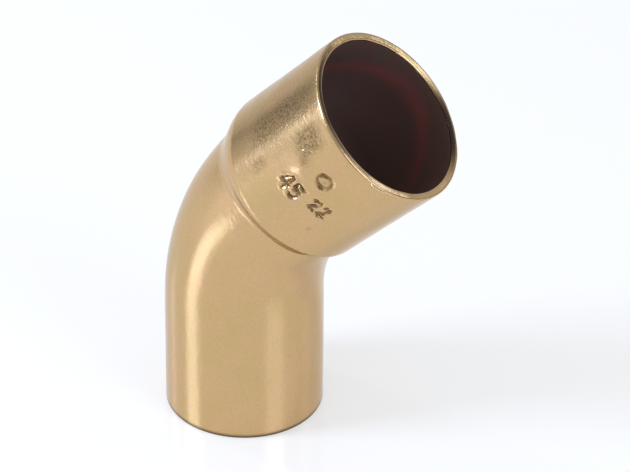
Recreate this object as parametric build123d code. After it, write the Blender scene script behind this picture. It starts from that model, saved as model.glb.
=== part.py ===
from build123d import *
import math
import os

os.makedirs("parts", exist_ok=True)

# A forty-five degree street elbow for 22 mm copper tube, formed from one length of tube.
# The plain end (the spigot) stands on the ground plane with its axis along +Z. The tube bends
# towards +X, and the drawn socket leaves it at forty-five degrees. Units are millimetres.
# The origin is the centre of the spigot's end face.

# The tube system
tube_diameter = 22.0
joint_clearance = 0.05
tube_wall = 1.0

# The spigot: its straight length is sized to the tube's diameter
spigot_length = 17.9
spigot_outer_chamfer = 0.2
spigot_deburr = 0.25

# The bend: most of the turn is on the main radius, the rest is taken up inside the neck
elbow_angle = 45.0
neck_turn = 6.7
bend_radius = 29.7

# The neck, where the tube is drawn out to the socket, and which stops the tube inside
neck_length = 3.0
neck_sections = 5

# The socket: a straight bore, and a barrel that grows a little towards its mouth
socket_length = 18.15
socket_wall = 1.0
barrel_growth = 0.2
mouth_outer_round = 0.28
mouth_lead_in = 0.15

# How far each cutting shape runs past the face that it opens
cut_past = 2.0

# Lengths, radii and turns that follow from the sizes above
tube_radius = tube_diameter / 2
tube_bore_radius = tube_radius - tube_wall
socket_bore_radius = tube_radius + joint_clearance
barrel_radius = socket_bore_radius + socket_wall
mouth_radius = barrel_radius + barrel_growth
neck_radius = neck_length / math.radians(neck_turn)
bend_turn = elbow_angle - neck_turn


def arc_step(radius, turn_from, turn_to):
    """How far the centreline moves on an arc: radius * (cos a - cos b, 0, sin b - sin a)."""
    a = math.radians(turn_from)
    b = math.radians(turn_to)
    return Vector(radius * (math.cos(a) - math.cos(b)), 0, radius * (math.sin(b) - math.sin(a)))


def across(origin, turn):
    """The plane across the centreline at a point where it has turned by so many degrees."""
    a = math.radians(turn)
    return Plane(origin=origin, x_dir=(0, 1, 0), z_dir=(math.sin(a), 0, math.cos(a)))


# Where one stretch of the centreline ends and the next one starts
spigot_start = Vector(0, 0, 0)
bend_start = spigot_start + Vector(0, 0, spigot_length)
neck_start = bend_start + arc_step(bend_radius, 0, bend_turn)
socket_start = neck_start + arc_step(neck_radius, bend_turn, elbow_angle)


def turned_on(plane, outline):
    """Turn a closed half profile, drawn in radius and height, about the plane's own axis."""
    profile = make_face(Plane.XZ * outline)
    return plane * revolve(profile, Axis.Z)


def spigot_outside():
    """The outer shape of the spigot, with the small chamfer round its end."""
    r = tube_radius
    c = spigot_outer_chamfer
    outline = Polyline((0, spigot_length), (0, 0), (r - c, 0), (r, c), (r, spigot_length), (0, spigot_length))
    return turned_on(across(spigot_start, 0), outline)


def spigot_inside():
    """The space inside the spigot, with the small chamfer that deburring leaves at the end."""
    r = tube_bore_radius
    c = spigot_deburr
    outline = Polyline(
        (0, spigot_length), (0, -cut_past), (r + c, -cut_past), (r + c, 0), (r, c), (r, spigot_length),
        (0, spigot_length),
    )
    return turned_on(across(spigot_start, 0), outline)


def bend(radius):
    """A length of ring: a circle of this radius turned about the bend's own centre."""
    centre = bend_start + Vector(bend_radius, 0, 0)
    return revolve(across(bend_start, 0) * Circle(radius), Axis(centre, (0, 1, 0)), bend_turn)


def neck_outside():
    """A run of circles along the last of the bend; the radius grows by 3 t^2 - 2 t^3."""
    circles = []
    for i in range(neck_sections):
        t = i / (neck_sections - 1)
        turn = bend_turn + neck_turn * t
        origin = neck_start + arc_step(neck_radius, bend_turn, turn)
        radius = tube_radius + (barrel_radius - tube_radius) * (3 * t**2 - 2 * t**3)
        circles.append(across(origin, turn) * Circle(radius))
    return loft(circles)


def neck_inside():
    """The straight-sided shoulder inside the neck, which stops a tube pushed into the socket."""
    narrow_end = across(neck_start, bend_turn) * Circle(tube_bore_radius)
    wide_end = across(socket_start, elbow_angle) * Circle(socket_bore_radius)
    return loft([narrow_end, wide_end])


def barrel_outside():
    """The outer shape of the socket's barrel, with the rounded outer edge of its mouth."""
    r = mouth_radius
    e = mouth_outer_round
    outline = Polyline((0, 0), (barrel_radius, 0), (r, socket_length - e))
    outline += RadiusArc((r, socket_length - e), (r - e, socket_length), -e)
    outline += Polyline((r - e, socket_length), (0, socket_length), (0, 0))
    return turned_on(across(socket_start, elbow_angle), outline)


def barrel_inside():
    """The socket's straight bore, which opens with a small chamfered lead-in."""
    r = socket_bore_radius
    e = mouth_lead_in
    end = socket_length
    outline = Polyline(
        (0, 0), (r, 0), (r, end - e), (r + e, end), (r + e, end + cut_past), (0, end + cut_past), (0, 0)
    )
    return turned_on(across(socket_start, elbow_angle), outline)


def elbow_body():
    """The whole fitting: its outer shape less the space that runs through it from end to end."""
    outside = spigot_outside() + bend(tube_radius) + neck_outside() + barrel_outside()
    inside = spigot_inside() + bend(tube_bore_radius) + neck_inside() + barrel_inside()
    return outside - inside


export_step(elbow_body(), "parts/elbow_body.step")
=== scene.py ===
# %% [markdown]
# A forty-five degree copper elbow
#
# The real fitting is one length of copper tube. It is bent, drawn out at one end to a socket that
# takes the next tube, and sized at the other end so that it fits a socket itself. Then it is dipped
# bright in acid. It could be put together from Blender's own cylinders and a part of a torus, but
# each joint between them would show as a hard line. So this lesson builds the whole wall as one
# closed grid of points, gives it its finish, and lights it as it would stand on a pale table.

# %% Load the frame
import math

import bpy
import numpy as np
from mathutils import Matrix, Vector


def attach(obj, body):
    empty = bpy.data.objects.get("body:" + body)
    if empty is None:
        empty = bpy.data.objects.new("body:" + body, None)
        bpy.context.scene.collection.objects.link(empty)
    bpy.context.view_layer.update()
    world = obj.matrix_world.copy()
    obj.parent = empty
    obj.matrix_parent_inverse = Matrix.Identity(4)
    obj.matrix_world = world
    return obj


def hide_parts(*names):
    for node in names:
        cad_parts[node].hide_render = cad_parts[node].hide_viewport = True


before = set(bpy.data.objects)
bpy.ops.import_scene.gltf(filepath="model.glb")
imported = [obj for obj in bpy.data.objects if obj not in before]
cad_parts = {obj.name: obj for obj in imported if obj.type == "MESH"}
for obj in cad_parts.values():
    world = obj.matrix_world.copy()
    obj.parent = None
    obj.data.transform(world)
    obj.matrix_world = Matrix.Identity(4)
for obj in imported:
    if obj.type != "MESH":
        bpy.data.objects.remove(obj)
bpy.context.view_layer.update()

# %% [markdown]
# The centreline
#
# The maker bends the tube round a former, so its middle line runs straight, then on an arc, then
# straight again. A curve object with a bevel would give such a tube in one step, but its section
# would be the same all the way, and this one steps out at the neck and carries struck marks. So the
# line is a function of the distance along it. Its sizes are the solid's, in millimetres: a straight
# spigot, a bend of constant radius, a short neck that turns a little tighter, and the straight socket.

# %% Sizes of the centreline
MM = 0.001
SPIGOT_LENGTH = 17.9
BEND_RADIUS = 29.7
BEND_TURN = math.radians(38.3)
NECK_TURN = math.radians(6.7)
NECK_LENGTH = 3.0
SOCKET_LENGTH = 18.15
ELBOW_TURN = BEND_TURN + NECK_TURN
NECK_START = SPIGOT_LENGTH + BEND_RADIUS * BEND_TURN
SOCKET_START = NECK_START + NECK_LENGTH
MOUTH = SOCKET_START + SOCKET_LENGTH
print("length along the middle, mm:", round(MOUTH, 2))


# %% A point on the centreline
def arc_run(radius, first, last):
    """Sideways and upward run of an arc: r * (cos first - cos last) and r * (sin last - sin first)."""
    return radius * (np.cos(first) - np.cos(last)), radius * (np.sin(last) - np.sin(first))


def centreline(along):
    """Point (x, z) and turn of the centreline at each distance from the spigot's end.

    The runs of the four stretches are added up; each is held at zero before its stretch starts
    and at its full value after it ends.
    """
    along = np.asarray(along, float)
    bend = np.clip((along - SPIGOT_LENGTH) / BEND_RADIUS, 0, BEND_TURN)
    neck = np.clip((along - NECK_START) / NECK_LENGTH, 0, 1) * NECK_TURN
    socket = np.clip(along - SOCKET_START, 0, None)
    x_bend, z_bend = arc_run(BEND_RADIUS, 0, bend)
    x_neck, z_neck = arc_run(NECK_LENGTH / NECK_TURN, BEND_TURN, BEND_TURN + neck)
    x = x_bend + x_neck + socket * math.sin(ELBOW_TURN)
    z = np.minimum(along, SPIGOT_LENGTH) + z_bend + z_neck + socket * math.cos(ELBOW_TURN)
    return x, z, bend + neck


mouth_x, mouth_z, mouth_turn = centreline(MOUTH)
print("centre of the mouth, mm:", round(float(mouth_x), 2), round(float(mouth_z), 2))
print("turn there, degrees:", round(math.degrees(mouth_turn), 2))

# %% [markdown]
# The wall's profile
#
# Cut along its centreline, the wall of the real fitting is one closed outline: up the outside from
# the foot, over the rim of the mouth, down the bore and back over the foot. A Solidify modifier could
# give a single skin its thickness, but the inside here is no copy of the outside: it has a shoulder
# that stops the next tube, and a bore that bells out a little. So each point of the outline gets its
# own distance along the centreline and its own radius. The edges are small round arcs, because a
# tumbled and dipped fitting has no sharp ones.

# %% Radii of the wall
SPIGOT_RADIUS = 11.0
WALL = 1.0
BORE_RADIUS = 11.05
BORE_BELL = 0.1
BORE_BELL_LENGTH = 5.0
BARREL_RADIUS = 12.05
BARREL_GROWTH = 0.2
FOOT_EDGE = 0.2
FOOT_DEBURR = 0.25
MOUTH_EDGE = 0.28
MOUTH_LEAD_IN = 0.3
print("spigot and bore, mm across:", 2 * SPIGOT_RADIUS, 2 * BORE_RADIUS)


# %% A soft step
def ease(t):
    """Soft step from 0 to 1: 3 t^2 - 2 t^3, with t held between 0 and 1."""
    t = np.clip(t, 0, 1)
    return t * t * (3 - 2 * t)


# %% What bending does to the tube
THINNING = 0.3
THINNING_START = 14.0
THINNING_LENGTH = 16.0
FLANK_BULGE = 0.52
FLANK_ANGLE = math.radians(60)
FLANK_WIDTH = math.radians(35)
OUTER_SIDE_FALL = 0.2
BULGE_AHEAD_OF_NECK = 1.5
BULGE_LENGTH = 4.5


def thinning(along):
    """How much bending has drawn the tube in: THINNING, eased in over the middle of the fitting."""
    return THINNING * ease((along - THINNING_START) / THINNING_LENGTH)


def out_of_round(along, angle):
    """What bending does to the round tube ahead of the neck: its flanks bulge, its outer side flattens.

    The flanks rise by exp(-((angle - FLANK_ANGLE) / FLANK_WIDTH)^2) on both sides, the outer side falls
    by the square of minus the cosine, and both fade by exp(-(distance along / BULGE_LENGTH)^2).
    """
    flank = np.exp(-(((np.abs(angle) - FLANK_ANGLE) / FLANK_WIDTH) ** 2))
    outer_side = np.clip(-np.cos(angle), 0, 1) ** 2
    ahead = np.exp(-(((along - NECK_START + BULGE_AHEAD_OF_NECK) / BULGE_LENGTH) ** 2))
    return ahead * (FLANK_BULGE * flank - OUTER_SIDE_FALL * outer_side)


print("tube drawn in at the neck, mm:", round(float(thinning(NECK_START)), 2))

# %% The outer radius
NECK_MIDDLE = 1.4
NECK_RUN = 2.8
NECK_RUN_OUTER = 4.2
OUTER_SIDE_START = math.radians(100)
OUTER_SIDE_SPREAD = math.radians(60)


def outer_radius(along, angle=math.pi):
    """The bent tube's radius, eased over to the barrel's; the step is longest on the bend's outer side."""
    outer_side = ease((np.abs(angle) - OUTER_SIDE_START) / OUTER_SIDE_SPREAD)
    run = NECK_RUN + (NECK_RUN_OUTER - NECK_RUN) * outer_side
    step = ease((along - NECK_START - NECK_MIDDLE) / run + 0.5)
    tube = SPIGOT_RADIUS - thinning(along) + out_of_round(along, angle)
    barrel = BARREL_RADIUS + BARREL_GROWTH * np.clip((along - SOCKET_START) / SOCKET_LENGTH, 0, 1)
    return tube + (barrel - tube) * step


print("outer radius at the foot and the mouth, mm:", outer_radius(0.0), outer_radius(MOUTH))


# %% The inner radius
def inner_radius(along):
    """The same inside, with a shoulder in the neck that stops the tube, and a bore that bells out."""
    shoulder = np.clip((along - NECK_START) / NECK_LENGTH, 0, 1)
    drawn = (BORE_RADIUS - SPIGOT_RADIUS + WALL + THINNING) * shoulder
    bell = BORE_BELL * ease((along - MOUTH + BORE_BELL_LENGTH) / BORE_BELL_LENGTH)
    return SPIGOT_RADIUS - WALL - thinning(along) + drawn + bell


print("inner radius at the foot and the mouth, mm:", inner_radius(0.0), inner_radius(MOUTH))

# %% Rows of points, closer together where they are needed
FINE_STEPS = 4001


def spaced(low, high, count, crowded):
    """Rising positions from low to high, closer together where a place (centre, width, gain) asks.

    The density is 1 plus gain * exp(-((x - centre) / width)^4) for each place; positions are read
    off the running total of that density at even steps.
    """
    x = np.linspace(low, high, FINE_STEPS)
    density = np.ones_like(x)
    for centre, width, gain in crowded:
        density += gain * np.exp(-(((x - centre) / width) ** 4))
    total = np.concatenate([[0], np.cumsum((density[1:] + density[:-1]) / 2)])
    return np.interp(np.linspace(0, total[-1], count), total, x)


# %% The closed outline of the wall
MARKS_ALONG = 50.8
ROWS_OUTSIDE = 216
ROWS_INSIDE = 44
ROWS_PER_EDGE = 6
FINE_OUTSIDE = [(MARKS_ALONG, 4.9, 5.0), (NECK_START + 1.5, 3.0, 1.8)]
FINE_INSIDE = [(MOUTH - 6.0, 6.5, 2.0)]


def wall_outline():
    """Distances and radii round the wall, and where each of its eight stretches starts."""
    quarter = np.linspace(0, math.pi / 2, ROWS_PER_EDGE)
    outside = spaced(FOOT_EDGE, MOUTH - MOUTH_EDGE, ROWS_OUTSIDE, FINE_OUTSIDE)
    rim_radius = outer_radius(MOUTH) - MOUTH_EDGE
    bore = inner_radius(MOUTH)
    flat = np.linspace(rim_radius, bore + MOUTH_LEAD_IN, 5)[1:-1]
    inside = spaced(FOOT_DEBURR, MOUTH - MOUTH_LEAD_IN, ROWS_INSIDE, FINE_INSIDE)[-2:0:-1]
    foot_flat = np.linspace(SPIGOT_RADIUS - WALL + FOOT_DEBURR, SPIGOT_RADIUS - FOOT_EDGE, 4)[1:-1]
    pieces = [
        (outside, outer_radius(outside)),
        (MOUTH - MOUTH_EDGE * (1 - np.sin(quarter[1:])), rim_radius + MOUTH_EDGE * np.cos(quarter[1:])),
        (MOUTH + 0 * flat, flat),
        (MOUTH - MOUTH_LEAD_IN * (1 - np.cos(quarter)), bore + MOUTH_LEAD_IN * (1 - np.sin(quarter))),
        (inside, inner_radius(inside)),
        (FOOT_DEBURR * (1 - np.sin(quarter)), SPIGOT_RADIUS - WALL + FOOT_DEBURR * (1 - np.cos(quarter))),
        (0 * foot_flat, foot_flat),
        (FOOT_EDGE * (1 - np.cos(quarter[:-1])), SPIGOT_RADIUS - FOOT_EDGE * (1 - np.sin(quarter[:-1]))),
    ]
    starts = np.cumsum([0] + [len(a) for a, _ in pieces])
    along = np.concatenate([a for a, _ in pieces])
    radius = np.concatenate([r for _, r in pieces])
    return along, radius, starts


along, radius, starts = wall_outline()
outside_rows = slice(0, starts[1])
rim_rows = slice(starts[1], starts[4])
bore_rows = slice(starts[4] - 1, starts[6])
print("points round the wall:", len(along), "of them outside:", starts[1])

# %% [markdown]
# From outline to surface
#
# A bent tube is its outline carried along its centreline. Blender's Screw and Spin tools carry a
# profile round one axis at a time, and here straight, bent and straight stretches have to meet with
# no seam. So a grid of distance and angle gives every point at once: the centre at that distance,
# plus the radius times the direction that the angle points in.

# %% The bare surface
AROUND = 336
MARKS_ANGLE = math.radians(-87.0)
MARKS_SPREAD = math.radians(24)
TEST_ROW = 40
angle = spaced(-math.pi, math.pi, AROUND + 1, [(MARKS_ANGLE, MARKS_SPREAD, 2.4)])[:-1]


def carried(along, radius, angle):
    """Grid of points: centre(along) + radius * (cos angle * inward + sin angle * sideways)."""
    x, z, turn = centreline(along)
    inward = np.stack([np.cos(turn), 0 * turn, -np.sin(turn)], axis=-1)
    centre = np.stack([x, 0 * x, z], axis=-1)
    out = np.cos(angle)[None, :, None] * inward[:, None, :]
    out = out + np.sin(angle)[None, :, None] * np.array([0.0, 1.0, 0.0])
    return centre[:, None, :] + radius[:, :, None] * out


def grid_normals(points):
    """Unit cross product of the differences to the next and last point along and around the grid."""
    around = np.roll(points, -1, axis=1) - np.roll(points, 1, axis=1)
    along_wall = np.roll(points, -1, axis=0) - np.roll(points, 1, axis=0)
    normal = np.cross(around, along_wall)
    return normal / np.linalg.norm(normal, axis=2, keepdims=True)


radii = np.repeat(radius[:, None], AROUND, axis=1)
radii[outside_rows] = outer_radius(along[outside_rows, None], angle[None, :])
points = carried(along, radii, angle)
normals = grid_normals(points)
across_tube = points[TEST_ROW, 0] - points[TEST_ROW, AROUND // 2]
facing = normals[TEST_ROW, 0] @ across_tube
print("grid:", points.shape, "normals point", "outwards" if facing > 0 else "inwards")

# %% [markdown]
# Waves, dents and marks
#
# A drawn socket is never a perfect cylinder. The mandrel leaves long shallow waves, handling leaves
# small dents, and a punch that strikes a figure pushes up a lip of metal beside each stroke. Bump in
# the material could shade all that, but it would leave the outline straight, and the exported mesh
# would lose it. So each is a height over a flat map of the outside, distance along by distance
# around, and their sum moves the surface along its normal.

# %% The flat map of the outside
map_along = along[:, None]
map_angle = angle[None, :]


def around_from(degrees):
    """Distance in mm round the socket from a given angle, the short way round."""
    turned = (map_angle - math.radians(degrees) + math.pi) % (2 * math.pi)
    return turned * BARREL_RADIUS - math.pi * BARREL_RADIUS


print("the map is, mm:", round(MOUTH, 1), "by", round(2 * math.pi * BARREL_RADIUS, 1))


# %% Long waves
def waves(seed, count, width, depth, low, high):
    """Sum of random soft bumps between low and high: height * exp(-(distance / width)^2).

    The heights are random, up and down, with depth as their spread. A bump is worked out only on the
    rows within three widths of it, because it is next to nothing further off.
    """
    rng = np.random.default_rng(seed)
    places = rng.uniform(low, high, count)
    turns = rng.uniform(-180, 180, count)
    depths = rng.normal(0, depth, count)
    total = np.zeros((len(along), AROUND))
    for place, turn, amount in zip(places, turns, depths):
        near = np.abs(along - place) < 3 * width
        squared = (map_along[near] - place) ** 2 + around_from(turn) ** 2
        total[near] += amount * np.exp(-squared / width**2)
    return total


drawn_part = ease((map_along - NECK_START) / NECK_LENGTH)
height = (1 - drawn_part) * waves(3, 90, width=4.0, depth=0.008, low=0, high=SOCKET_START)
height = height + drawn_part * waves(4, 110, width=2.6, depth=0.018, low=SOCKET_START, high=MOUTH)
height = height + drawn_part * waves(5, 260, width=1.2, depth=0.006, low=SOCKET_START, high=MOUTH)
print("waves, mm:", round(float(height.min()), 3), "to", round(float(height.max()), 3))

# %% Dents
# Each is a place along in mm, an angle in degrees, and a length, a width and a depth in mm. A depth
# below zero is a bulge.
DENTS = [
    (54.9, -114.5, 1.8, 1.8, 0.06),
    (51.7, -101.5, 1.5, 1.5, -0.27),
    (44.9, -117.0, 0.5, 0.5, 0.03),
    (48.0, -152.0, 3.2, 1.5, 0.04),
    (45.2, -66.0, 0.8, 0.5, 0.02),
    (24.0, 96.0, 2.4, 1.8, 0.05),
    (49.0, 120.0, 2.0, 1.5, 0.06),
    (33.0, 172.0, 2.0, 1.4, 0.04),
]
for place, turn, length, width, depth in DENTS:
    height -= depth * np.exp(-(((map_along - place) / length) ** 2) - (around_from(turn) / width) ** 2)
print("dents and bulges:", len(DENTS))

# %% The strokes of the figures
# Each figure is one stroke of straight runs, in a box from -1 to 1.
FIGURES = {
    "2": [
        (-0.5, 0.62), (-0.3, 0.92), (0.1, 1.0), (0.45, 0.8), (0.45, 0.42), (-0.1, -0.3), (-0.52, -1.0),
        (0.55, -1.0),
    ],
    "4": [(0.25, -1.0), (0.25, 1.0), (-0.55, -0.35), (0.6, -0.35)],
    "5": [
        (0.5, 1.0), (-0.42, 1.0), (-0.5, 0.1), (0.05, 0.25), (0.5, -0.1), (0.5, -0.6), (0.1, -1.0),
        (-0.52, -0.85),
    ],
}


def stroke_distance(across, up, path):
    """Distance from each point to a path: for each run, to the nearest point held between its ends."""
    nearest = np.full(np.broadcast(across, up).shape, 1e9)
    for (x0, y0), (x1, y1) in zip(path[:-1], path[1:]):
        dx, dy = x1 - x0, y1 - y0
        t = np.clip(((across - x0) * dx + (up - y0) * dy) / (dx * dx + dy * dy), 0, 1)
        nearest = np.minimum(nearest, np.hypot(across - x0 - t * dx, up - y0 - t * dy))
    return nearest


print("figures drawn:", ", ".join(FIGURES))

# %% Worn and ragged strokes
# A punch wears, and its strokes come out uneven in depth and ragged at their edges. Fine bumps over
# the struck part give both: wear scales the depth, and the other two move the strokes about.
STRUCK_FROM, STRUCK_TO = 46, 56
wear = 1 + waves(9, 2600, width=0.3, depth=0.38, low=STRUCK_FROM, high=STRUCK_TO)
ragged_across = waves(10, 2600, width=0.35, depth=0.11, low=STRUCK_FROM, high=STRUCK_TO)
ragged_along = waves(11, 2600, width=0.35, depth=0.11, low=STRUCK_FROM, high=STRUCK_TO)
print("stroke edges wander by, mm:", round(float(ragged_along.std()), 3))
print("their depth varies by a share of:", round(float(wear.std()), 2))

# %% Struck figures
FIGURE_WIDTH = 0.9
LIP_HEIGHT = 0.22
LIP_PLACE = 2.1


def struck(text, place, turn, half_height, pitch, width, depth):
    """Depth * exp(-(distance to stroke / width)^2), less a raised lip of pushed-up metal beside it."""
    total = np.zeros((len(along), AROUND))
    for i, figure in enumerate(text):
        across = around_from(turn) - (i - (len(text) - 1) / 2) * pitch + ragged_across
        path = [(half_height * x * FIGURE_WIDTH, half_height * y) for x, y in FIGURES[figure]]
        gap = stroke_distance(across, map_along - place + ragged_along, path)
        total += np.exp(-((gap / width) ** 2))
        total -= LIP_HEIGHT * np.exp(-(((gap - LIP_PLACE * width) / width) ** 2))
    return -depth * total


marks = struck("45", place=48.5, turn=-96.0, half_height=1.2, pitch=1.9, width=0.26, depth=0.24)
marks = marks + struck("22", place=49.3, turn=-73.5, half_height=1.0, pitch=1.65, width=0.24, depth=0.21)
print("struck figures, mm deep:", round(float(-marks.min()), 2))

# %% A round punch mark
# A ring groove of 1 mm radius, the lip outside it, and the dot of the punch's point in its middle.
RING_ALONG, RING_TURN = 53.3, -86.5
LEAST_WEAR, MOST_WEAR = 0.35, 1.8
ring = np.hypot(map_along - RING_ALONG, around_from(RING_TURN))
marks = marks - 0.16 * np.exp(-(((ring - 1.0) / 0.33) ** 2)) + 0.05 * np.exp(-(((ring - 1.65) / 0.3) ** 2))
marks = marks - 0.10 * np.exp(-((ring / 0.3) ** 2))
marks = marks * np.clip(wear, LEAST_WEAR, MOST_WEAR)
height = height + marks
print("all marks, mm deep:", round(float(-marks.min()), 2))

# %% A scratch
# A line 1.7 mm long, 0.03 mm deep, with a burr along both sides.
SCRATCH_ALONG, SCRATCH_TURN = 53.9, -108.5
SCRATCH = [(-0.7, -0.55), (-0.1, -0.1), (0.55, 0.6)]
scratch = stroke_distance(around_from(SCRATCH_TURN), map_along - SCRATCH_ALONG, SCRATCH)
height = height - 0.03 * np.exp(-((scratch / 0.12) ** 2)) + 0.02 * np.exp(-(((scratch - 0.25) / 0.12) ** 2))
print("points in the scratch:", int((scratch < 0.12).sum()))

# %% Move the outside
# The relief fades out over the last millimetre before each edge, so that the edges stay round.
EDGE_FADE = 1.0
outside_only = np.zeros(len(along))
outside_only[outside_rows] = 1
outside_only *= np.clip((MOUTH - MOUTH_EDGE - along) / EDGE_FADE, 0, 1)
outside_only *= np.clip((along - FOOT_EDGE) / EDGE_FADE, 0, 1)
points = points + (height * outside_only[:, None])[:, :, None] * normals
print("relief, mm:", round(float(height.min()), 3), "to", round(float(height.max()), 3))

# %% [markdown]
# Masks for the finish and for painted light
#
# The finish changes from place to place: the socket carries stains, dirt has settled in the struck
# figures, and heat has left oxide in the bore. Other masks paint light and shade into the colour: a
# painted dark reflection on the upper side of the socket, painted shade at the cut end, a darker rim
# that is partly a painted reflection, and a painted sheen and painted light in the bore. Such places
# could be painted on an unwrapped picture. Here each is a number from 0 to 1 at every point of the
# grid, worked out on the same map as the dents, so that a stain stays with its dent and nothing has to
# be unwrapped.

# %% Stains and a painted dark reflection
# Each is a place along in mm, an angle in degrees, a length and a width in mm, and a strength.
# The two long patches near -139 degrees are a painted dark reflection of the dim room on the upper side of
# the socket; the other three are stains.
STAINS_AND_DARK_REFLECTION = [
    (54.9, -113.5, 2.3, 1.8, 1.0),
    (53.3, -139.0, 4.8, 2.3, 0.85),
    (48.6, -138.5, 3.6, 2.3, 0.8),
    (45.2, -66.0, 0.5, 0.35, 0.3),
    (45.4, -118.5, 1.2, 0.9, 0.45),
]
stain_and_dark_reflection = np.zeros((len(along), AROUND))
for place, turn, length, width, amount in STAINS_AND_DARK_REFLECTION:
    spot = np.exp(-(((map_along - place) / length) ** 4) - (around_from(turn) / width) ** 4)
    stain_and_dark_reflection = np.maximum(stain_and_dark_reflection, amount * spot)
masks = {"stain_and_dark_reflection": stain_and_dark_reflection}
print("stained share of the map:", round(float((stain_and_dark_reflection > 0.5).mean()), 3))

# %% Grain, dirt and painted shade at the cut end
# The socket's upper side is grainy, where drawing has opened the crystals of the metal.
GRAIN_START, GRAIN_RUN = 1.5, 4.0
FULL_DIRT_DEPTH = 0.15
# The dark ring along the cut end is painted shade: the contact shadow that the foot's round edge mirrors.
CUT_END, CUT_END_FADE = 0.2, 0.4
left_of_top = ease((math.radians(-120) - map_angle) / math.radians(14))
right_of_top = ease((map_angle - math.radians(100)) / 0.5)
grainy = ease((map_along - SOCKET_START - GRAIN_START) / GRAIN_RUN)
masks["grainy"] = grainy * np.clip(left_of_top + right_of_top, 0, 1)
masks["struck"] = np.clip(-marks / FULL_DIRT_DEPTH, 0, 1)
masks["foot_shade"] = np.broadcast_to(1 - ease((map_along - CUT_END) / CUT_END_FADE), stain_and_dark_reflection.shape)
print("grainy share of the map:", round(float((masks["grainy"] > 0.5).mean()), 3))

# %% Painted sheen and painted light in the bore
# A redder band, a painted sheen, lies 3.6 mm below the mouth on one side and runs deeper to both
# sides of that, where it fades. The scale is painted a little paler further in, from 5 mm below the
# mouth on, as painted light against the shade there.
BAND_SIDE = math.radians(85)
off_side = np.abs((map_angle - BAND_SIDE + math.pi) % (2 * math.pi) - math.pi)
band_depth = 3.6 + 6.5 * (1 - np.cos(1.25 * np.minimum(off_side, 1.6)))
band = np.exp(-(((MOUTH - map_along - band_depth) / 1.3) ** 2))
masks["painted_sheen_band"] = band * (1 - ease((off_side - 1.0) / 0.8))
masks["deep"] = np.broadcast_to(ease((MOUTH - map_along - 5.0) / 12.0), stain_and_dark_reflection.shape)
print("band lies, mm deep:", round(float(band_depth.min()), 1), "to", round(float(band_depth.max()), 1))

# %% A darker rim, on the left a painted reflection
# The end face is darker on its inner half to the right and on its outer half to the left. On the left,
# where the face leans inwards, the dark is a painted reflection of the dim room.
RIM_MIDDLE = 11.8
RIM_LINE = 0.3
rim_radius = radius[rim_rows, None]
right_side = np.exp(-(((map_angle - math.radians(48)) / math.radians(34)) ** 4))
left_side = np.exp(-(((map_angle + math.radians(128)) / math.radians(52)) ** 4))
inner_half = 1 - ease((rim_radius - BORE_RADIUS - BORE_BELL - 0.5) / RIM_LINE)
outer_half = np.exp(-(((rim_radius - RIM_MIDDLE) / RIM_LINE) ** 4))
rim_darkening = np.zeros(stain_and_dark_reflection.shape)
rim_darkening[rim_rows] = inner_half * right_side + 0.85 * outer_half * left_side
masks["rim_darkening"] = rim_darkening
print("masks:", ", ".join(masks))

# %% Coordinates that follow the skin
# The fine grain is laid over the straightened tube, and squeezed coordinates make it longer round
# the tube than along it, because drawing has stretched the crystals that way. On Object coordinates
# the stretch couldn't follow the bend.
SKIN_SQUEEZE = 0.7
squeezed = SKIN_SQUEEZE * radii
skin = np.stack([squeezed * np.cos(map_angle), squeezed * np.sin(map_angle), map_along + 0 * radii], axis=-1)
skin = skin * MM
print("skin coordinates:", skin.shape)

# %% [markdown]
# The rim
#
# The mouth was cut and then tumbled, so its end face isn't flat: it leans inwards here and outwards
# there, and each lean mirrors another part of the room. Sculpting could do that by hand. A short list
# of leans by angle does the same and can be read: it is smoothed round the mouth, and the end face
# falls away from its higher edge by the tangent of the lean.

# %% The lean of the rim, angle and lean in degrees
RIM_LEAN = [
    (-180, -3), (-165, -8), (-145, -11), (-128, -9), (-60, 8), (-45, 0), (-30, -6), (0, -4), (18, 2), (40, 6),
    (60, 3), (75, -3), (95, -9), (106, -9), (118, -4), (135, -2), (180, -3),
]
SMOOTHING = 27
lean = np.interp(np.degrees(angle), [t for t, _ in RIM_LEAN], [v for _, v in RIM_LEAN])
three_turns = np.concatenate([lean, lean, lean])
lean = np.convolve(three_turns, np.ones(SMOOTHING) / SMOOTHING, "same")[AROUND : 2 * AROUND]
lean = np.radians(lean + 1.5 * np.sin(7 * angle + 1.0) + 1.0 * np.sin(17 * angle + 2.0))
print("rim leans, degrees:", [round(math.degrees(v), 1) for v in (lean.min(), lean.max())])

# %% Let the rim fall
outer_edge, inner_edge = radius[starts[1]], radius[starts[4] - 1]
fall = np.tan(np.maximum(lean, 0))[None, :] * (rim_radius - inner_edge)
fall = fall + np.tan(np.maximum(-lean, 0))[None, :] * (outer_edge - rim_radius)
socket_axis = np.array([math.sin(ELBOW_TURN), 0, math.cos(ELBOW_TURN)])
points[rim_rows] = points[rim_rows] - fall[:, :, None] * socket_axis
print("rim falls by up to, mm:", round(float(fall.max()), 2))

# %% [markdown]
# The mesh
#
# The wall closes on itself both ways, as a ring does, so each face is a quad between neighbours on
# the grid, and there is no seam, pole or cap to hide. from_pydata would take the points too, as
# Python lists. foreach_set takes the arrays as they are, which is quicker for a hundred thousand.


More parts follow.
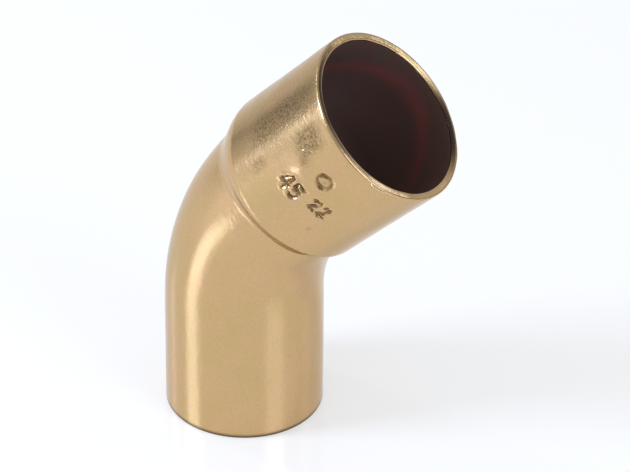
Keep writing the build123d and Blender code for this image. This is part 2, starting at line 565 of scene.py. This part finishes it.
# %% Build the mesh
def grid_mesh(name, points):
    """Closed both ways: each face joins a point to its neighbours, and the last row joins the first."""
    rows, cols, _ = points.shape
    index = np.arange(rows * cols).reshape(rows, cols)
    right = np.roll(index, -1, axis=1)
    up = np.roll(index, -1, axis=0)
    corner = np.roll(up, -1, axis=1)
    quads = np.stack([index, right, corner, up], axis=-1).reshape(-1, 4)
    mesh = bpy.data.meshes.new(name)
    mesh.vertices.add(rows * cols)
    mesh.vertices.foreach_set("co", (points * MM).astype(np.float32).ravel())
    mesh.loops.add(quads.size)
    mesh.loops.foreach_set("vertex_index", quads.astype(np.int32).ravel())
    mesh.polygons.add(len(quads))
    mesh.polygons.foreach_set("loop_start", np.arange(0, quads.size, 4, dtype=np.int32))
    mesh.polygons.foreach_set("use_smooth", np.ones(len(quads), dtype=bool))
    mesh.update(calc_edges=True)
    mesh.validate()
    return mesh


mesh = grid_mesh("elbow_skin", points)
for name, values in masks.items():
    mask_layer = mesh.attributes.new(name, "FLOAT", "POINT")
    mask_layer.data.foreach_set("value", values.astype(np.float32).ravel())
skin_layer = mesh.attributes.new("skin", "FLOAT_VECTOR", "POINT")
skin_layer.data.foreach_set("vector", skin.astype(np.float32).ravel())
print("triangles:", 2 * len(mesh.polygons))

# %% Put the elbow in the frame
elbow = bpy.data.objects.new("elbow_skin", mesh)
bpy.context.scene.collection.objects.link(elbow)
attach(elbow, "root")
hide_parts("elbow_body")
print("elbow_skin stands for elbow_body")

# %% [markdown]
# Helpers for materials
#
# A material is a tree of nodes. It could be wired by hand in the Shader Editor, but a script shows
# every setting and can be run again. Colours are written as they look on a screen, in hex, and one
# function turns them to the linear values that a renderer needs. One more adds a node with its
# settings and links. The size of a pattern is written in millimetres.


# %% Colour, node, material and scale
def linear(hex_colour):
    """Linear colour from sRGB hex: c / 12.92 below 0.04045, else ((c + 0.055) / 1.055) ^ 2.4."""
    srgb = [int(hex_colour[i : i + 2], 16) / 255 for i in (1, 3, 5)]
    return [c / 12.92 if c <= 0.04045 else ((c + 0.055) / 1.055) ** 2.4 for c in srgb] + [1.0]


def node(tree, kind, settings=None, inputs=None):
    """Add a node; set its properties, then its sockets to a value or, where given one, a link."""
    made = tree.nodes.new(kind)
    for name, value in (settings or {}).items():
        setattr(made, name, value)
    for name, value in (inputs or {}).items():
        if isinstance(value, bpy.types.NodeSocket):
            tree.links.new(value, made.inputs[name])
        else:
            made.inputs[name].default_value = value
    return made


def new_material(name):
    """An empty material with its node tree and its output node."""
    material = bpy.data.materials.new(name)
    material.use_nodes = True
    material.node_tree.nodes.clear()
    return material, material.node_tree, node(material.node_tree, "ShaderNodeOutputMaterial")


def scale_of(size_mm):
    """Scale of a noise with patches of a size in mm on coordinates in metres: 1 / size in metres."""
    return 1 / (size_mm * MM)


print("mid grey in linear light:", round(linear("#808080")[0], 3))

# %% [markdown]
# Bright-dipped copper
#
# The outside is bare copper, pressed in steel dies, annealed and then dipped bright in acid. It gives
# the eye a pale golden metal with broad soft highlights, smooth on the bend and speckled on the upper
# side of the socket. One metal colour and one roughness would look like foil. So noises from 6 mm
# down to a quarter of a millimetre vary the colour, the roughness and the bump, and the masks put
# stains, dirt, painted shade and painted reflections over them. A picture wrapped round the fitting
# would do the same, but only at its own sharpness, and with a seam.

# %% What the copper reads
material, tree, output = new_material("bright_dipped_copper")
place = node(tree, "ShaderNodeTexCoord")
read = {
    name: node(tree, "ShaderNodeAttribute", {"attribute_name": name})
    for name in ("grainy", "foot_shade", "stain_and_dark_reflection", "struck", "rim_darkening", "skin")
}
print("attributes read by the copper:", ", ".join(read))

# %% Noises of the copper, sizes in mm
# One pixel of the picture is about 0.14 mm of the fitting. The real grain is about 0.1 mm, too fine
# to show, so the grit and the pits are drawn at about a quarter of a millimetre, near two pixels.
CLOUD_SIZE = 5.556
BLOOM_SIZE = 2.381
PEEL_SIZE = 0.6667
GRIT_SIZE = 0.2564
PIT_SIZE = 0.2381
noises = {}
for name, vector, size, detail in (
    ("cloud", place.outputs["Object"], CLOUD_SIZE, 3.0),
    ("bloom", place.outputs["Object"], BLOOM_SIZE, 2.0),
    ("peel", read["skin"].outputs["Vector"], PEEL_SIZE, 1.0),
    ("grit", read["skin"].outputs["Vector"], GRIT_SIZE, 1.0),
    ("pits", place.outputs["Object"], PIT_SIZE, 1.0),
):
    noise = node(
        tree, "ShaderNodeTexNoise", inputs={"Vector": vector, "Scale": scale_of(size), "Detail": detail}
    )
    noises[name] = noise.outputs["Fac"]
    print(name, "scale:", round(scale_of(size)))

# %% How much of each colour
MOST_DIRT = 0.85
DARKEST_FOOT_SHADE = 0.95
cloudy = node(
    tree, "ShaderNodeMapRange", inputs={"Value": noises["cloud"], "From Min": 0.35, "From Max": 0.65}
)
bloomed = node(
    tree, "ShaderNodeMapRange", inputs={"Value": noises["bloom"], "From Min": 0.5, "From Max": 0.85}
)
freckled = node(
    tree, "ShaderNodeMapRange",
    inputs={"Value": noises["pits"], "From Min": 0.35, "From Max": 0.65, "To Max": 0.22},
)
speckled = node(
    tree, "ShaderNodeMapRange",
    inputs={"Value": noises["grit"], "From Min": 0.4, "From Max": 0.6, "To Min": 0.35},
)
# The stain mask holds the painted dark reflection as well as the stains.
stain_and_reflection_speckled = node(
    tree, "ShaderNodeMath", {"operation": "MULTIPLY"},
    {0: read["stain_and_dark_reflection"].outputs["Fac"], 1: speckled.outputs[0]},
)
dirty = node(
    tree, "ShaderNodeMath", {"operation": "MULTIPLY"}, {0: read["struck"].outputs["Fac"], 1: MOST_DIRT}
)
# Painted shade at the foot: the contact shadow that its round edge mirrors.
foot_shade_share = node(
    tree, "ShaderNodeMath", {"operation": "MULTIPLY"}, {0: read["foot_shade"].outputs["Fac"], 1: DARKEST_FOOT_SHADE}
)
print("nodes so far:", len(tree.nodes))

# %% Colour of the copper
# Polished copper reflects a warm pink. This fitting is paler and more golden, so its two ground
# colours are matched to it. The layers over them come in the order in which they lie.
gold = node(
    tree, "ShaderNodeMix", {"data_type": "RGBA"},
    {"Factor": cloudy.outputs[0], "A": linear("#C8AA76"), "B": linear("#CFAA7D")},
)
LAYERS = (
    ("bloom of the acid", bloomed.outputs[0], "#CBAB7E"),
    ("freckles", freckled.outputs[0], "#AA8C5E"),
    # stains, and the painted dark reflection on the upper side of the socket
    ("stains and painted dark reflection", stain_and_reflection_speckled.outputs[0], "#7E6648"),
    ("dirt in the marks", dirty.outputs[0], "#6E4F28"),
    # painted shade at the foot, the mirrored contact shadow
    ("painted shade at the foot", foot_shade_share.outputs[0], "#4E3C28"),
    # darker rim; on the left a painted reflection of the dim room
    ("darker rim, partly painted reflection", read["rim_darkening"].outputs["Fac"], "#3E2E26"),
)
for layer, amount, colour in LAYERS:
    gold = node(
        tree, "ShaderNodeMix", {"data_type": "RGBA"},
        {"Factor": amount, "A": gold.outputs["Result"], "B": linear(colour)},
    )
    print(layer, colour)

# %% Roughness of the copper
# Dipped copper is between polished, 0.1, and satin, 0.3. Clouds of the dip vary it softly.
SMOOTHEST = 0.145
CLOUD_BLUR = 0.08
GRAIN_BLUR = 0.03
clouded = node(
    tree, "ShaderNodeMath", {"operation": "MULTIPLY_ADD"}, {0: noises["cloud"], 1: CLOUD_BLUR, 2: SMOOTHEST}
)
roughness = node(
    tree, "ShaderNodeMath", {"operation": "MULTIPLY_ADD"},
    {0: read["grainy"].outputs["Fac"], 1: GRAIN_BLUR, 2: clouded.outputs[0]},
)
print("roughness, at most:", SMOOTHEST + CLOUD_BLUR + GRAIN_BLUR)

# %% Grain of the copper
# Grit, orange peel and pits as shares of one bump 0.08 mm high. The grit is strong only where the
# grainy mask is.
BUMP_HEIGHT = 0.08
GRIT_EVERYWHERE = 0.04
GRIT_ON_GRAINY = 0.42
PEEL_SHARE = 0.3
PIT_SHARE = 0.13
rise = node(
    tree, "ShaderNodeMath", {"operation": "MULTIPLY_ADD"},
    {0: read["grainy"].outputs["Fac"], 1: GRIT_ON_GRAINY, 2: GRIT_EVERYWHERE},
)
grain = node(tree, "ShaderNodeMath", {"operation": "MULTIPLY"}, {0: noises["grit"], 1: rise.outputs[0]})
for name, share in (("peel", PEEL_SHARE), ("pits", PIT_SHARE)):
    grain = node(
        tree, "ShaderNodeMath", {"operation": "MULTIPLY_ADD"},
        {0: noises[name], 1: share, 2: grain.outputs[0]},
    )
bump = node(
    tree, "ShaderNodeBump", inputs={"Height": grain.outputs[0], "Strength": 1.0, "Distance": BUMP_HEIGHT * MM}
)
print("bump, mm:", BUMP_HEIGHT)

# %% The copper's shader
# The thin coat stands for the clear film that the last dip leaves against tarnish. It adds a second,
# softer highlight. The IOR of the metal stays at its default.
copper = node(
    tree, "ShaderNodeBsdfPrincipled",
    inputs={
        "Base Color": gold.outputs["Result"],
        "Metallic": 1.0,
        "Roughness": roughness.outputs[0],
        "Specular Tint": linear("#F1ECE6"),
        "Coat Weight": 0.2,
        "Coat Roughness": 0.2,
        "Coat IOR": 1.5,
        "Normal": bump.outputs["Normal"],
    },
)
tree.links.new(copper.outputs["BSDF"], output.inputs["Surface"])
mesh.materials.append(material)
print(material.name, "nodes:", len(tree.nodes))

# %% [markdown]
# Oxidised bore
#
# Heat leaves a scale of copper oxide inside, where the acid hardly reaches. Oxide isn't a metal, so
# it gives the eye a dull brown that is nearly black in the shade. A redder band on it is a painted
# sheen, and further in it is painted paler, as painted light. A dark metal would be quicker to set up,
# but it would still mirror the room. So the bore has a material of its own, with no metal in it, and
# the faces of the bore are given its slot.

# %% What the bore reads, sizes in mm
PATCH_SIZE = 4.0
SCALE_CLOUD_SIZE = 3.333
material, tree, output = new_material("oxidised_copper")
place = node(tree, "ShaderNodeTexCoord")
# The painted sheen band and the painted light deep in the bore are read here.
sheen_band = node(tree, "ShaderNodeAttribute", {"attribute_name": "painted_sheen_band"})
deep = node(tree, "ShaderNodeAttribute", {"attribute_name": "deep"})
patches = node(
    tree, "ShaderNodeTexNoise",
    inputs={"Vector": place.outputs["Object"], "Scale": scale_of(PATCH_SIZE), "Detail": 2.0},
)
clouds = node(
    tree, "ShaderNodeTexNoise",
    inputs={"Vector": place.outputs["Object"], "Scale": scale_of(SCALE_CLOUD_SIZE), "Detail": 3.0},
)
print("scales:", round(scale_of(PATCH_SIZE)), round(scale_of(SCALE_CLOUD_SIZE)))

# %% How much of each brown
patchy = node(
    tree, "ShaderNodeMapRange", inputs={"Value": patches.outputs["Fac"], "From Min": 0.0, "From Max": 0.5}
)
cloudy = node(
    tree, "ShaderNodeMapRange", inputs={"Value": clouds.outputs["Fac"], "From Min": 0.35, "From Max": 0.65}
)
sheen_share = node(
    tree, "ShaderNodeMath", {"operation": "MULTIPLY"}, {0: sheen_band.outputs["Fac"], 1: patchy.outputs[0]}
)
brown = node(
    tree, "ShaderNodeMix", {"data_type": "RGBA"},
    {"Factor": cloudy.outputs[0], "A": linear("#58443A"), "B": linear("#5C4038")},
)
# Painted light makes the scale paler deep in the bore, and the redder band is a painted sheen.
for amount, colour in ((deep.outputs["Fac"], "#6E5248"), (sheen_share.outputs[0], "#77423B")):
    brown = node(
        tree, "ShaderNodeMix", {"data_type": "RGBA"},
        {"Factor": amount, "A": brown.outputs["Result"], "B": linear(colour)},
    )
print("nodes so far:", len(tree.nodes))

# %% The bore's shader and its faces
# The scale is as dull as matt paint, 0.5.
bore = node(
    tree, "ShaderNodeBsdfPrincipled",
    inputs={"Base Color": brown.outputs["Result"], "Metallic": 0.0, "Roughness": 0.5},
)
tree.links.new(bore.outputs["BSDF"], output.inputs["Surface"])
mesh.materials.append(material)
slots = np.zeros((len(along), AROUND), dtype=np.int32)
slots[bore_rows] = 1
mesh.polygons.foreach_set("material_index", slots.ravel())
print(material.name, "faces:", int(slots.sum()))

# %% [markdown]
# The table
#
# A product stands on a sheet of white acrylic, which keeps a soft shadow and gives a faint mirror
# image of the foot. A plane would do for its shape; a round one leaves no corner in any view. Its
# brightness could come from more light, but that would burn out the copper. So half of what the
# camera sees of it is plain white, and its shadow stays in the other half.

# %% The table's top
TABLE_RADIUS = 1.2
TABLE_STEPS = 96


def table_top(radius_m, steps):
    """A flat disc: a centre point and a ring of even steps, joined by triangles."""
    turn = np.linspace(0, 2 * math.pi, steps, endpoint=False)
    circle = np.stack([radius_m * np.cos(turn), radius_m * np.sin(turn), 0 * turn], axis=-1)
    faces = [(0, 1 + i, 1 + (i + 1) % steps) for i in range(steps)]
    made = bpy.data.meshes.new("table_top")
    made.from_pydata([(0, 0, 0), *circle.tolist()], [], faces)
    return made


floor = bpy.data.objects.new("table_top", table_top(TABLE_RADIUS, TABLE_STEPS))
bpy.context.scene.collection.objects.link(floor)
print("table, m across:", 2 * TABLE_RADIUS)

# %% White acrylic
# Cast acrylic is polished on its face, roughness 0.12, and gives the eye a clean white with a clear
# but weak reflection.
SELF_LIT = 0.5
material, tree, output = new_material("white_acrylic_sheet")
sheet = node(
    tree, "ShaderNodeBsdfPrincipled",
    inputs={"Base Color": linear("#FAF6EE"), "Roughness": 0.12, "Specular IOR Level": 1.0},
)
rays = node(tree, "ShaderNodeLightPath")
seen = node(
    tree, "ShaderNodeMath", {"operation": "MAXIMUM"},
    {0: rays.outputs["Is Camera Ray"], 1: rays.outputs["Is Glossy Ray"]},
)
seen = node(
    tree, "ShaderNodeMath", {"operation": "MAXIMUM"},
    {0: seen.outputs[0], 1: rays.outputs["Is Transmission Ray"]},
)
share = node(tree, "ShaderNodeMath", {"operation": "MULTIPLY"}, {0: seen.outputs[0], 1: SELF_LIT})
glow = node(tree, "ShaderNodeEmission", inputs={"Color": linear("#FFFFFF"), "Strength": 1.0})
top = node(
    tree, "ShaderNodeMixShader",
    inputs={0: share.outputs[0], 1: sheet.outputs["BSDF"], 2: glow.outputs["Emission"]},
)
tree.links.new(top.outputs["Shader"], output.inputs["Surface"])
floor.data.materials.append(material)
print(material.name, "nodes:", len(tree.nodes))

# %% [markdown]
# The lamps
#
# Bright metal shows its surroundings more than its own colour, so each lamp is there for one
# highlight: the long one on the bend, the low ones that carry it down to the foot, the broad one on
# the right, the thin one on the left edge and the small one on the rim. Point or sun lamps would
# give sparks. Large rectangles, as a photographer's softboxes, give highlights with soft ends. They
# are a little blue, as daylight lamps are, which keeps the pale gold from turning orange.

# %% Where things stand in the studio
AIM = Vector((0.008, 0.0, 0.026))
LAMP_DISTANCE = 0.6
LAMP_COLOUR = "#CFDFFF"


def direction(azimuth, elevation):
    """Unit vector towards a place in the studio; azimuth 0 is the -Y side, 90 the +X side."""
    a, e = math.radians(azimuth), math.radians(elevation)
    return Vector((math.sin(a) * math.cos(e), -math.cos(a) * math.cos(e), math.sin(e)))


def softbox(name, azimuth, elevation, width, height, brightness):
    """A rectangular lamp that faces the fitting; its power is brightness * pi * width * height."""
    lamp = bpy.data.lights.new(name, "AREA")
    lamp.shape = "RECTANGLE"
    lamp.size = width
    lamp.size_y = height
    lamp.energy = brightness * math.pi * width * height
    lamp.color = linear(LAMP_COLOUR)[:3]
    made = bpy.data.objects.new(name, lamp)
    bpy.context.scene.collection.objects.link(made)
    away = direction(azimuth, elevation)
    made.rotation_mode = "QUATERNION"
    made.rotation_quaternion = away.to_track_quat("Z", "Y")
    made.location = AIM + away * LAMP_DISTANCE
    print(name, "watts:", round(lamp.energy, 2))


# %% The lamps
# Name, azimuth and elevation in degrees, width and height in metres, and brightness.
softbox("key_left", -55, 32, 0.18, 0.24, 19.0)
softbox("key_low", -55, 17.5, 0.18, 0.07, 22.0)
softbox("key_foot", -60, 6, 0.24, 0.09, 1.2)
softbox("fill_right", 71, 24, 0.24, 0.40, 5.5)
softbox("edge_left", -98, 33, 0.05, 0.22, 11.0)
softbox("rim_light", 128, 29, 0.17, 0.16, 2.2)

# %% [markdown]
# The room
#
# Between the lamps the metal mirrors the room, and that sets its darker tones. A plain white world
# would wash them out, and a panorama would be a picture from outside. So the walls are a mid grey at
# the height of the table and pale above, and two pale areas at table height stand for the sides of a
# light tent, which the bend and its left edge reflect.

# %% The room's walls
WALL_GREY = "#83868C"
WALL_PALE = "#E8ECF2"
HORIZON_FROM, HORIZON_TO = 0.03, 0.36
ROOM_STRENGTH = 0.8
world = bpy.data.worlds.new("studio")
bpy.context.scene.world = world
world.use_nodes = True
tree = world.node_tree
tree.nodes.clear()
place = node(tree, "ShaderNodeTexCoord")
split = node(tree, "ShaderNodeSeparateXYZ", inputs={0: place.outputs["Generated"]})
above = node(
    tree, "ShaderNodeMapRange", {"interpolation_type": "SMOOTHSTEP"},
    {"Value": split.outputs["Z"], "From Min": HORIZON_FROM, "From Max": HORIZON_TO},
)
walls = node(
    tree, "ShaderNodeMix", {"data_type": "RGBA"},
    {"Factor": above.outputs[0], "A": linear(WALL_GREY), "B": linear(WALL_PALE)},
)
print("walls from", WALL_GREY, "to", WALL_PALE)

# %% The pale areas
# Azimuth, elevation, and how far off that direction the pale area fades out and is full, in degrees.
PALE_AREAS = ((-62, -2, 50, 16), (-121, 0, 22, 9))
for azimuth, elevation, outer, inner in PALE_AREAS:
    toward = node(
        tree, "ShaderNodeVectorMath", {"operation": "DOT_PRODUCT"},
        {0: place.outputs["Generated"], 1: tuple(direction(azimuth, elevation))},
    )
    near = node(
        tree, "ShaderNodeMapRange", {"interpolation_type": "SMOOTHSTEP"},
        {
            "Value": toward.outputs["Value"],
            "From Min": math.cos(math.radians(outer)),
            "From Max": math.cos(math.radians(inner)),
        },
    )
    walls = node(
        tree, "ShaderNodeMix", {"data_type": "RGBA"},
        {"Factor": near.outputs[0], "A": walls.outputs["Result"], "B": linear(WALL_PALE)},
    )
room = node(
    tree, "ShaderNodeBackground", inputs={"Color": walls.outputs["Result"], "Strength": ROOM_STRENGTH}
)
output = node(tree, "ShaderNodeOutputWorld")
tree.links.new(room.outputs["Background"], output.inputs["Surface"])
bpy.context.scene.view_settings.view_transform = "Standard"
print("pale areas:", len(PALE_AREAS))

# %% [markdown]
# The camera
#
# The fitting is seen from above, at a third of a right angle, from half a metre off with a long
# lens, so it hardly tapers. Such a place could be found by eye. Here it comes from the sizes: the
# socket's bore and the spigot fit the same tube, and only one distance makes both look right. The
# framing is set by moving the camera sideways, with no lens shift and no depth of field.

# %% Sizes of the camera
CAMERA_AZIMUTH = 25.48
CAMERA_ELEVATION = 33.3
CAMERA_ROLL = math.radians(0.62)
CAMERA_DISTANCE = 0.500
CAMERA_RIGHT_MM = 2.467
CAMERA_UP_MM = 2.166
FOCAL_PIXELS = 3675.6
PICTURE_WIDTH = 630
SENSOR_WIDTH = 36.0
camera_data = bpy.data.cameras.new("camera")
camera_data.sensor_width = SENSOR_WIDTH
camera_data.lens = FOCAL_PIXELS / PICTURE_WIDTH * SENSOR_WIDTH
camera_data.clip_start = 0.05
camera_data.clip_end = 10.0
print("lens, mm:", round(camera_data.lens, 1))

# %% The camera
camera = bpy.data.objects.new("camera", camera_data)
bpy.context.scene.collection.objects.link(camera)
back = direction(CAMERA_AZIMUTH, CAMERA_ELEVATION)
level = Vector((math.cos(math.radians(CAMERA_AZIMUTH)), math.sin(math.radians(CAMERA_AZIMUTH)), 0))
upright = back.cross(level)
right = level * math.cos(CAMERA_ROLL) + upright * math.sin(CAMERA_ROLL)
up = upright * math.cos(CAMERA_ROLL) - level * math.sin(CAMERA_ROLL)
spot = AIM + right * CAMERA_RIGHT_MM * MM + up * CAMERA_UP_MM * MM + back * CAMERA_DISTANCE
camera.matrix_world = Matrix([
    (right.x, up.x, back.x, spot.x),
    (right.y, up.y, back.y, spot.y),
    (right.z, up.z, back.z, spot.z),
    (0, 0, 0, 1),
])
bpy.context.scene.camera = camera
print("camera stands at, m:", [round(v, 3) for v in spot])
